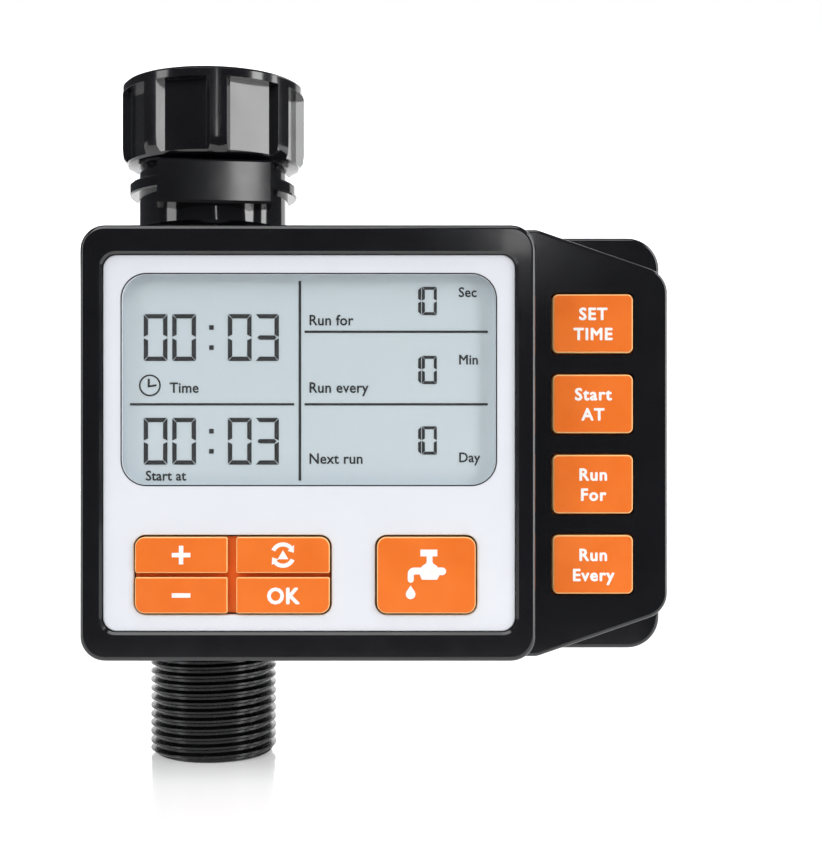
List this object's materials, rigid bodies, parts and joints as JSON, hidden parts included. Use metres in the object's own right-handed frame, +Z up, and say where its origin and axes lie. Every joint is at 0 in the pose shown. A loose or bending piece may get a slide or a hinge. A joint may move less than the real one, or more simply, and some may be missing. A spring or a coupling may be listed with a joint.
{
  "type": "irrigation timer",
  "caption": "Battery tap timer for drip irrigation with a display, push keys, a swivel inlet nut and a threaded outlet.",
  "frame": {"origin": "centre of the washer seat inside the inlet nut, on the axis of the waterway", "axes": "+Z up along the waterway towards the tap, front face towards -Y, +X to the right seen from the front"},
  "size_m": [0.1153, 0.052, 0.1406],
  "materials": {
    "shell": "gloss black moulded plastic",
    "face": "satin white moulded plastic",
    "lens": "clear flat window",
    "display": "grey-blue liquid crystal panel",
    "print": "black display segments and print",
    "key": "satin orange silicone",
    "key_rubber": "orange silicone mat",
    "key_mark": "white print on the keys",
    "seal": "black rubber",
    "steel": "bright steel",
    "ball_steel": "polished ball",
    "brass": "turned brass",
    "white_plastic": "natural acetal",
    "valve_plastic": "dark grey moulded plastic",
    "board": "green circuit board",
    "chip": "black component body",
    "ribbon": "grey ribbon",
    "cell": "plain wrapped battery cell"
  },
  "bodies": {
    "casing": {"front_housing": "shell", "rear_housing": "shell", "housing_seal": "seal", "housing_screws": "steel", "face_panel": "face", "display_lens": "lens", "display_glass": "display", "display_frame": "face", "main_board": "board", "side_board": "board", "board_ribbon": "ribbon", "controller_chip": "chip", "storage_capacitor": "chip", "board_screws": "steel", "front_keypad_mat": "key_rubber", "side_keypad_mat": "key_rubber", "inlet_spigot": "shell", "nut_retaining_ring": "white_plastic", "inlet_washer": "seal", "inlet_filter": "white_plastic", "spigot_seals": "seal", "outlet_spigot": "shell", "valve_body": "valve_plastic", "valve_screws": "steel", "ball_seats": "white_plastic", "gear_axles": "steel", "gearbox_base": "valve_plastic", "gearbox_cover": "valve_plastic", "gearbox_screws": "steel", "drive_motor": "steel", "battery_cells": "cell", "battery_contacts": "steel", "battery_hinge_pin": "steel", "battery_door_seal": "seal"},
    "inlet_nut": {"inlet_nut": "shell"},
    "ball_rotor": {"valve_ball": "ball_steel", "valve_stem": "brass", "stem_seals": "seal", "output_gear": "white_plastic"},
    "second_gear": {"second_gear": "white_plastic"},
    "first_gear": {"first_gear": "white_plastic"},
    "motor_rotor": {"motor_shaft": "steel", "motor_pinion": "brass"},
    "battery_door": {"battery_door": "shell"},
    "plus_key": {"plus_key": "key"},
    "cycle_key": {"cycle_key": "key"},
    "minus_key": {"minus_key": "key"},
    "ok_key": {"ok_key": "key"},
    "tap_key": {"tap_key": "key"},
    "set_time_key": {"set_time_key": "key"},
    "start_key": {"start_key": "key"},
    "run_for_key": {"run_for_key": "key"},
    "run_every_key": {"run_every_key": "key"}
  },
  "joints": [
    {"name": "nut_swivel", "type": "hinge", "parent": "casing", "child": "inlet_nut", "pos_m": [0, 0, 0], "axis": [0, 0, 1], "continuous": true},
    {"name": "ball_turn", "type": "hinge", "parent": "casing", "child": "ball_rotor", "pos_m": [0, 0, -0.066], "axis": [1, 0, 0], "range_deg": [0, 90]},
    {"name": "second_gear_turn", "type": "hinge", "parent": "casing", "child": "second_gear", "pos_m": [0.028, 0.003, -0.05325], "axis": [1, 0, 0], "range_deg": [-305, 5]},
    {"name": "first_gear_turn", "type": "hinge", "parent": "casing", "child": "first_gear", "pos_m": [0.03, 0.004, -0.04119], "axis": [1, 0, 0], "range_deg": [-5, 905]},
    {"name": "motor_turn", "type": "hinge", "parent": "casing", "child": "motor_rotor", "pos_m": [0.032, -0.0055, -0.04868], "axis": [1, 0, 0], "range_deg": [-2705, 5]},
    {"name": "battery_door_swing", "type": "hinge", "parent": "casing", "child": "battery_door", "pos_m": [0.0805, 0.022, -0.062], "axis": [0, 0, -1], "range_deg": [0, 100]},
    {"name": "plus_key_press", "type": "slide", "parent": "casing", "child": "plus_key", "axis": [0, 1, 0], "range_m": [0, 0.0008], "stiffness_N_per_m": 900},
    {"name": "cycle_key_press", "type": "slide", "parent": "casing", "child": "cycle_key", "axis": [0, 1, 0], "range_m": [0, 0.0008], "stiffness_N_per_m": 900},
    {"name": "minus_key_press", "type": "slide", "parent": "casing", "child": "minus_key", "axis": [0, 1, 0], "range_m": [0, 0.0008], "stiffness_N_per_m": 900},
    {"name": "ok_key_press", "type": "slide", "parent": "casing", "child": "ok_key", "axis": [0, 1, 0], "range_m": [0, 0.0008], "stiffness_N_per_m": 900},
    {"name": "tap_key_press", "type": "slide", "parent": "casing", "child": "tap_key", "axis": [0, 1, 0], "range_m": [0, 0.0008], "stiffness_N_per_m": 900},
    {"name": "set_time_key_press", "type": "slide", "parent": "casing", "child": "set_time_key", "axis": [0, 1, 0], "range_m": [0, 0.0008], "stiffness_N_per_m": 900},
    {"name": "start_key_press", "type": "slide", "parent": "casing", "child": "start_key", "axis": [0, 1, 0], "range_m": [0, 0.0008], "stiffness_N_per_m": 900},
    {"name": "run_for_key_press", "type": "slide", "parent": "casing", "child": "run_for_key", "axis": [0, 1, 0], "range_m": [0, 0.0008], "stiffness_N_per_m": 900},
    {"name": "run_every_key_press", "type": "slide", "parent": "casing", "child": "run_every_key", "axis": [0, 1, 0], "range_m": [0, 0.0008], "stiffness_N_per_m": 900}
  ],
  "couplings": [
    {"joint": "second_gear_turn", "follows": "ball_turn", "ratio": -3.3333},
    {"joint": "first_gear_turn", "follows": "ball_turn", "ratio": 10},
    {"joint": "motor_turn", "follows": "ball_turn", "ratio": -30}
  ]
}
